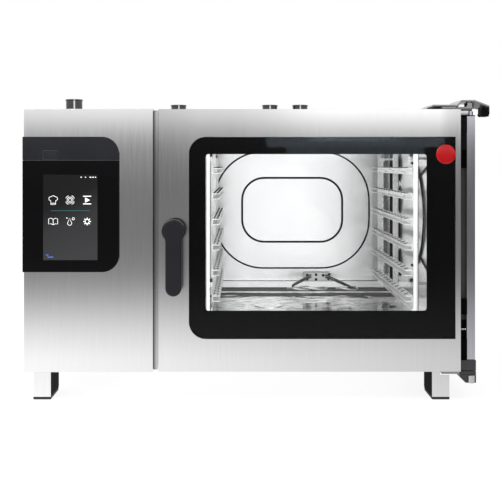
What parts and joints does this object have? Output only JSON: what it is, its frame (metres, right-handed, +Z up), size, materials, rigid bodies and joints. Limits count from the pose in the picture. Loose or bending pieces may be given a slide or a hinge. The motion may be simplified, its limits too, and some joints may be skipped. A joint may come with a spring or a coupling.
{
  "type": "combi steamer oven",
  "caption": "Table-top combi steamer oven with control column at the left, glazed door with lever handle at the right that swings and slides back, tray racks, fan and steam generator",
  "frame": {"origin": "on the table under the middle of the whole machine's box", "axes": "+X to the right along the width, +Y to the rear, +Z up"},
  "size_m": [1.2136, 0.992, 0.786],
  "materials": {
    "casing_steel": "brushed, upright grain",
    "foot_steel": "satin sheet",
    "pad_rubber": "matt",
    "bezel_black": "high gloss",
    "strip_black": "gloss",
    "flap_black": "satin",
    "display": "gloss",
    "chamber_steel": "polished",
    "rack_steel": "satin wire and sheet",
    "rod_steel": "satin",
    "fan_steel": "satin",
    "mineral_wool": "fibrous",
    "motor_grey": "semi-gloss",
    "heater_steel": "oxidised",
    "vessel_steel": "satin",
    "circuit_board": "matt",
    "contactor_grey": "matt",
    "small_fan_black": "satin",
    "valve_grey": "matt",
    "brass": "turned",
    "pipe_steel": "turned",
    "gasket_rubber": "matt",
    "latch_steel": "satin",
    "hinge_steel": "satin",
    "hinge_dark": "semi-gloss",
    "hook_black": "satin",
    "gland_black": "matt",
    "door_glass": "float glass",
    "black_enamel": "gloss behind glass",
    "lamp_cover": "frosted",
    "badge_red": "gloss",
    "guide_steel": "satin",
    "handle_black": "fine grain"
  },
  "bodies": {
    "cabinet": {"base_tray": "casing_steel", "front_left_foot": "foot_steel", "front_right_foot": "foot_steel", "rear_left_foot": "foot_steel", "rear_right_foot": "foot_steel", "foot_pads": "pad_rubber", "left_side_panel": "casing_steel", "right_side_panel": "casing_steel", "rear_panel": "casing_steel", "top_cover": "casing_steel", "column_front_panel": "casing_steel", "cabinet_front_frame": "casing_steel", "gutter_strip": "casing_steel", "control_bezel": "bezel_black", "service_strip": "strip_black", "display_glass": "display", "cavity_shell": "chamber_steel", "insulation": "mineral_wool", "suction_panel": "chamber_steel", "fan_motor": "motor_grey", "ring_heater": "heater_steel", "steam_generator": "vessel_steel", "steam_pipe": "vessel_steel", "control_board": "circuit_board", "contactor_block": "contactor_grey", "cooling_fan_housing": "small_fan_black", "water_valves": "valve_grey", "water_inlets": "brass", "drain_box": "vessel_steel", "drain_pipe": "pipe_steel", "drain_grate": "chamber_steel", "vent_pipes": "pipe_steel", "rack_studs": "chamber_steel", "rear_rod_bracket": "rod_steel", "door_gasket": "gasket_rubber", "latch_striker": "latch_steel", "top_hinge_bracket": "hinge_steel", "rail_end_hook": "hook_black", "top_side_rail": "hinge_steel", "bottom_hinge_bracket": "hinge_dark", "bottom_side_rail": "hinge_steel", "cable_gland": "gland_black"},
    "swing": {"swing_arms": "hinge_steel"},
    "door": {"door_skin": "casing_steel", "door_outer_glass": "door_glass", "glass_border": "black_enamel", "door_middle_glass": "door_glass", "door_inner_glass": "door_glass", "door_inner_frame": "casing_steel", "door_light_strips": "lamp_cover", "door_badge": "badge_red", "door_channels": "casing_steel", "door_guide_bar": "guide_steel"},
    "handle": {"door_handle": "handle_black", "handle_spindle": "latch_steel"},
    "flap": {"port_flap": "flap_black"},
    "chamber_fan": {"fan_wheel": "fan_steel"},
    "column_fan": {"cooling_fan": "small_fan_black"},
    "left_rack": {"rack_left": "rack_steel"},
    "right_rack": {"rack_right": "rack_steel"}
  },
  "joints": [
    {"name": "door_swing", "type": "hinge", "parent": "cabinet", "child": "swing", "pos_m": [0.5418, -0.415, 0.4], "axis": [0, 0, 1], "range_deg": [0, 90]},
    {"name": "door_slide", "type": "slide", "parent": "swing", "child": "door", "axis": [1, 0, 0], "range_m": [0, 0.65]},
    {"name": "handle_turn", "type": "hinge", "parent": "door", "child": "handle", "pos_m": [-0.2177, -0.439, 0.44], "axis": [0, 1, 0], "range_deg": [0, 180]},
    {"name": "fan_spin", "type": "hinge", "parent": "cabinet", "child": "chamber_fan", "pos_m": [-0.1842, 0.001, 0.43], "axis": [1, 0, 0], "continuous": true},
    {"name": "column_fan_spin", "type": "hinge", "parent": "cabinet", "child": "column_fan", "pos_m": [-0.4842, 0.441, 0.62], "axis": [0, 1, 0], "continuous": true},
    {"name": "port_flap_turn", "type": "hinge", "parent": "cabinet", "child": "flap", "pos_m": [-0.5523, -0.4462, 0.632], "axis": [0, 0, -1], "range_deg": [0, 100]},
    {"name": "left_rack_lift", "type": "slide", "parent": "cabinet", "child": "left_rack", "axis": [0, 0, 1], "range_m": [0, 0.015]},
    {"name": "right_rack_lift", "type": "slide", "parent": "cabinet", "child": "right_rack", "axis": [0, 0, 1], "range_m": [0, 0.015]}
  ]
}
